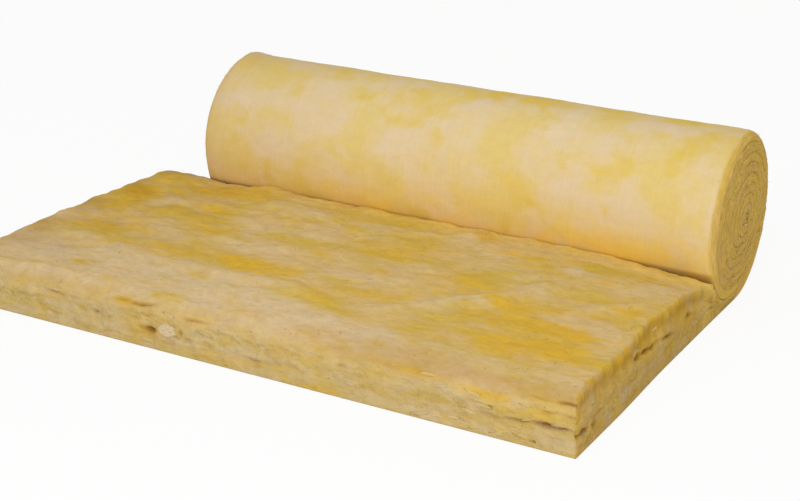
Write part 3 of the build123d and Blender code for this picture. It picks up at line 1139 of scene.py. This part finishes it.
TUFT_LENGTH = 0.006  # of the shortest tuft
TUFT_WIDTH = 0.0012
TUFT_HEIGHT = 0.0010
TUFT_HEIGHT_RANGE = 0.0018
TUFT_SWERVE = 0.18  # tufts turn away from their row by about this much, in radians
TUFT_RAGGED = 0.55
SUNK = 0.45  # a tuft is sunk in the wool by this share of its height
WHITE_TUFT = (0.448, 0.001, 0.039)  # from the blanket's left edge, behind its free edge, above the floor
WHITE_TUFT_SIZE = (0.022, 0.0060, 0.0130)
WHITE_CLUMPS = 10
WHITE_CLUMP_SIZE = (0.008, 0.0050, 0.0060)
WHITE = 1.6  # how pale it is
SEED = 7  # of the random places

# How many tufts and fibres each part of the wool has
FRONT_TUFTS = 50
SIDE_TUFTS = 26
END_TUFTS = 380
FRONT_FIBRES = 700
SIDE_FIBRES = 600
TOP_FIBRES = 1500
END_FIBRES = 500
RIM_FIBRES = 400

FIBRE_SIDES = 3
FIBRE_STEPS = 4
FIBRE_SUNK = 0.15  # a fibre starts this share of its length below the wool
FIBRE_THICKNESS = (0.00015, 0.00035)


def repeat(bm, count):
    """Copies the mesh until it is there count times; returns each vertex's copy and place in it."""
    number = bm.verts.layers.int.new("number")
    spot = bm.verts.layers.int.new("spot")
    for k, vert in enumerate(bm.verts):
        vert[spot] = k
    have = 1
    while have < count:
        whole = bm.verts[:] + bm.edges[:] + bm.faces[:]
        for made in bmesh.ops.duplicate(bm, geom=whole)["geom"]:
            if isinstance(made, bmesh.types.BMVert):
                made[number] += have
        have *= 2
    extra = [v for v in bm.verts if v[number] >= count]
    bmesh.ops.delete(bm, geom=extra, context="VERTS")
    return [(v, v[number], v[spot]) for v in bm.verts]


def make_tufts(name, material, tufts, seed):
    """Small ragged clumps, half sunk in the wool."""
    bm = bmesh.new()
    bmesh.ops.create_icosphere(bm, subdivisions=2, radius=1.0)
    lays, deep, pale = [], [], []
    for point, number, _ in repeat(bm, len(tufts)):
        tuft = tufts[number]
        across = tuft.along.cross(tuft.out)
        way = point.co.copy()
        lump = 1.0 + tuft.ragged * rough(way.x * 1.6 + number, way.y * 1.6, way.z * 1.6 + seed)
        thin = lump * (1.0 - 0.6 * abs(way.x) ** 2)
        length, height, width = tuft.size
        moved = tuft.along * (way.x * length * lump)
        moved += (tuft.out * way.y * height + across * way.z * width) * thin
        point.co = tuft.place + moved
        point.co.z = max(point.co.z, 0.0)
        lays.append(tuple(Vector(tuft.lay) + moved))
        deep.append(tuft.deep)
        pale.append(tuft.pale)
    bmesh.ops.recalc_face_normals(bm, faces=bm.faces)
    values = {"lay": lays, "torn": 1.0, "painted_shade": 0.0, "deep": deep, "pale": pale, "painted_bounce": 0.0}
    return finish_piece(name, bm, values, material)


def points_on(piece, choose, count, dice):
    """Random points of a piece that choose accepts, with their normals and lay."""
    mesh = piece.data
    lays = mesh.attributes["lay"].data
    found = [v for v in mesh.vertices if choose(v.co, v.normal)]
    picked = [dice.choice(found) for _ in range(count)]
    return [(v.co.copy(), v.normal.copy(), tuple(lays[v.index].vector)) for v in picked]


def tufts_at(points, along_of, longest, widest, deepest, palest, dice):
    """Tufts at the points, along the way that along_of gives, each of its own size."""
    tufts = []
    for place, normal, lay in points:
        along = along_of(place)
        along = (along - normal * along.dot(normal)).normalized()
        along = Matrix.Rotation(dice.gauss(0.0, TUFT_SWERVE), 3, normal) @ along
        grown = dice.random() ** 2
        height = TUFT_HEIGHT + TUFT_HEIGHT_RANGE * dice.random()
        size = (TUFT_LENGTH + longest * grown, height, TUFT_WIDTH + widest * grown)
        deep = deepest * dice.random() ** 2
        pale = palest * dice.random()
        root = place - normal * height * SUNK
        tufts.append(Tuft(root, along, normal, size, TUFT_RAGGED, lay, deep, pale))
    return tufts


def across_blanket(place):
    """The way along the free edge, the same at every place."""
    return Vector((1.0, 0.0, 0.0))


def along_blanket(place):
    """The way along both sides, the same at every place."""
    return Vector((0.0, 1.0, 0.0))


def round_axis(place):
    """The way along the turns, round the roll's axis."""
    return Vector((0.0, AXIS_HEIGHT - place.z, place.y - ROLL_LINE))


def white_tufts(dice):
    """The round white tuft on the free edge: one clump with a ring of smaller ones on it."""
    x, behind, z = WHITE_TUFT
    middle = Vector((LEFT + x, FREE_EDGE + behind, z))
    ahead = Vector((0.0, -1.0, 0.0))
    lay = (x, 0.0, z)
    tufts = [Tuft(middle, Vector((1.0, 0.0, -0.1)), ahead, WHITE_TUFT_SIZE, 0.15, lay, 0.0, WHITE)]
    for k in range(WHITE_CLUMPS):
        around = math.radians(360.0 / WHITE_CLUMPS * k + dice.uniform(-12.0, 12.0))
        place = middle + Vector((0.013 * math.cos(around), -0.001, 0.006 * math.sin(around)))
        along = Vector((1.0, 0.0, dice.uniform(-0.5, 0.5)))
        tufts.append(Tuft(place, along, ahead, WHITE_CLUMP_SIZE, 0.25, lay, 0.0, WHITE))
    return tufts


def flat_tufts(flat, dice):
    """The tufts on the flat part's cut faces."""
    front = points_on(flat, lambda p, n: n.y < -0.8 and 0.004 < p.z < 0.085, FRONT_TUFTS, dice)
    right = points_on(flat, lambda p, n: n.x > 0.8 and 0.004 < p.z < 0.088 and p.y < ROLL_LINE,
                      SIDE_TUFTS, dice)
    left = points_on(flat, lambda p, n: n.x < -0.8 and 0.004 < p.z < 0.088, SIDE_TUFTS, dice)
    tufts = tufts_at(front, across_blanket, 0.016, 0.0030, 0.5, 0.6, dice)
    tufts += tufts_at(right + left, along_blanket, 0.014, 0.0022, 1.0, 0.1, dice)
    return tufts + white_tufts(dice)


def end_tufts(inner, dice):
    """The tufts on the roll's ends, which lie along the turns."""
    points = points_on(inner, lambda p, n: abs(n.x) > 0.8, END_TUFTS, dice)
    return tufts_at(points, round_axis, 0.012, 0.0015, 0.5, 0.3, dice)


def fibre_shapes(fibres, dice):
    """The ways, bend and thickness that each fibre gets."""
    shapes = []
    for fibre in fibres:
        turn = Matrix.Rotation(dice.uniform(0.0, 6.283), 3, fibre.out)
        side = turn @ fibre.out.orthogonal().normalized()
        start = (fibre.out * (1.0 - fibre.lean) + side * fibre.lean).normalized()
        curl = Vector((dice.gauss(0.0, 0.5), dice.gauss(0.0, 0.5), dice.gauss(-0.25, 0.4))) * fibre.length
        thick = dice.uniform(*FIBRE_THICKNESS)
        shapes.append((start, start.orthogonal().normalized(), curl, thick))
    return shapes


def make_fibres(name, material, fibres, dice):
    """Single fibres and bundles that stand out of the wool and droop."""
    bm = bmesh.new()
    sweep(bm, FIBRE_SIDES, list(range(FIBRE_STEPS + 1)), lambda station, k: Vector())
    shapes = fibre_shapes(fibres, dice)
    lays, pale, deep = [], [], []
    for point, number, spot in repeat(bm, len(fibres)):
        fibre = fibres[number]
        start, side, curl, thick = shapes[number]
        t = (spot // FIBRE_SIDES) / FIBRE_STEPS
        turn = math.radians(360.0 / FIBRE_SIDES * (spot % FIBRE_SIDES))
        spoke = side * math.cos(turn) + start.cross(side) * math.sin(turn)
        middle = fibre.place + start * (fibre.length * (t - FIBRE_SUNK)) + curl * t * t
        point.co = middle + spoke * thick * (1.0 - 0.8 * t)
        point.co.z = max(point.co.z, 0.0)
        lays.append(fibre.lay)
        pale.append(fibre.pale)
        deep.append(fibre.deep)
    bmesh.ops.recalc_face_normals(bm, faces=bm.faces)
    values = {"lay": lays, "torn": 1.0, "painted_shade": 0.0, "deep": deep, "pale": pale, "painted_bounce": 0.0}
    return finish_piece(name, bm, values, material)


def fibres_at(points, lean, longest, palest, deepness, dice):
    """Fibres at the points, which lean over and are up to longest long."""
    fibres = []
    for place, normal, lay in points:
        length = dice.uniform(0.3, 1.0) * longest
        pale = palest * dice.uniform(0.5, 1.0)
        fibres.append(Fibre(place, normal, lay, lean, length, pale, deepness))
    return fibres


def flat_fibres(flat, dice):
    """The fibres on the flat part's cut faces and its top."""
    front = points_on(flat, lambda p, n: n.y < -0.85 and p.z > 0.003, FRONT_FIBRES, dice)
    sides = points_on(flat, lambda p, n: abs(n.x) > 0.85 and p.z > 0.003, SIDE_FIBRES, dice)
    top = points_on(flat, lambda p, n: n.z > 0.7 and p.y < CREST + 0.05, TOP_FIBRES, dice)
    fibres = fibres_at(front, 0.75, 0.008, 0.8, 0.0, dice)
    fibres += fibres_at(sides, 0.75, 0.008, 0.3, 0.5, dice)
    return fibres + fibres_at(top, 0.86, 0.014, 0.9, 0.0, dice)


def end_fibres(outer, inner, dice):
    """The fibres on the roll's ends and rims."""
    ends = points_on(inner, lambda p, n: abs(n.x) > 0.5, END_FIBRES, dice)
    rims = points_on(outer, lambda p, n: 0.2 < abs(n.x) < 0.95, RIM_FIBRES, dice)
    return fibres_at(ends + rims, 0.55, 0.006, 0.5, 0.0, dice)


flat_wool = wool("flat_wool", FLAT_COLOURS, CUT_COLOURS,
                 clouds=(6.5, 14.0, 14.0), cloud_soft=0.13, cloud_detail=0.62,
                 streaks=(24.0, 75.0, 75.0), fibres=(160.0, 900.0, 600.0), swirl_reach=0.06,
                 waver=0.026, strokes=0.30, deep_start=0.49, light=0.28, cut_light=0.26,
                 fluff_light=0.52, felt_light=0.12, bump_depth=0.0020)
roll_wool = wool("roll_wool", ROLL_COLOURS, CUT_END_COLOURS,
                 clouds=(9.0, 10.0, 10.0), cloud_soft=0.14, cloud_detail=0.50,
                 streaks=(190.0, 9.0, 60.0), fibres=(900.0, 160.0, 600.0), swirl_reach=0.06,
                 waver=0.003, strokes=0.0, deep_start=0.51, light=0.09, cut_light=0.90,
                 fluff_light=0.14, felt_light=0.05, bump_depth=0.0004)
end_wool = wool("end_wool", END_COLOURS, CUT_END_COLOURS,
                clouds=(9.0, 9.0, 20.0), cloud_soft=0.13, cloud_detail=0.60,
                streaks=(34.0, 34.0, 160.0), fibres=(500.0, 300.0, 600.0), swirl_reach=0.05,
                waver=0.008, strokes=0.35, deep_start=0.60, light=1.10, cut_light=1.10,
                fluff_light=0.30, felt_light=0.20, bump_depth=0.0016)
flat = make_flat_blanket(flat_wool)
outer = make_outer_turn(roll_wool)
inner = make_inner_turns(end_wool)
dice = random.Random(SEED)
make_tufts("loose_tufts", flat_wool, flat_tufts(flat, dice), 2.5)
make_tufts("end_tufts", end_wool, end_tufts(inner, dice), 5.5)
make_fibres("loose_fibres", flat_wool, flat_fibres(flat, dice), dice)
make_fibres("end_fibres", end_wool, end_fibres(outer, inner, dice), dice)

add_camera()
add_world()
add_floor()
add_key_lamp()

bpy.context.scene.view_settings.view_transform = "Standard"
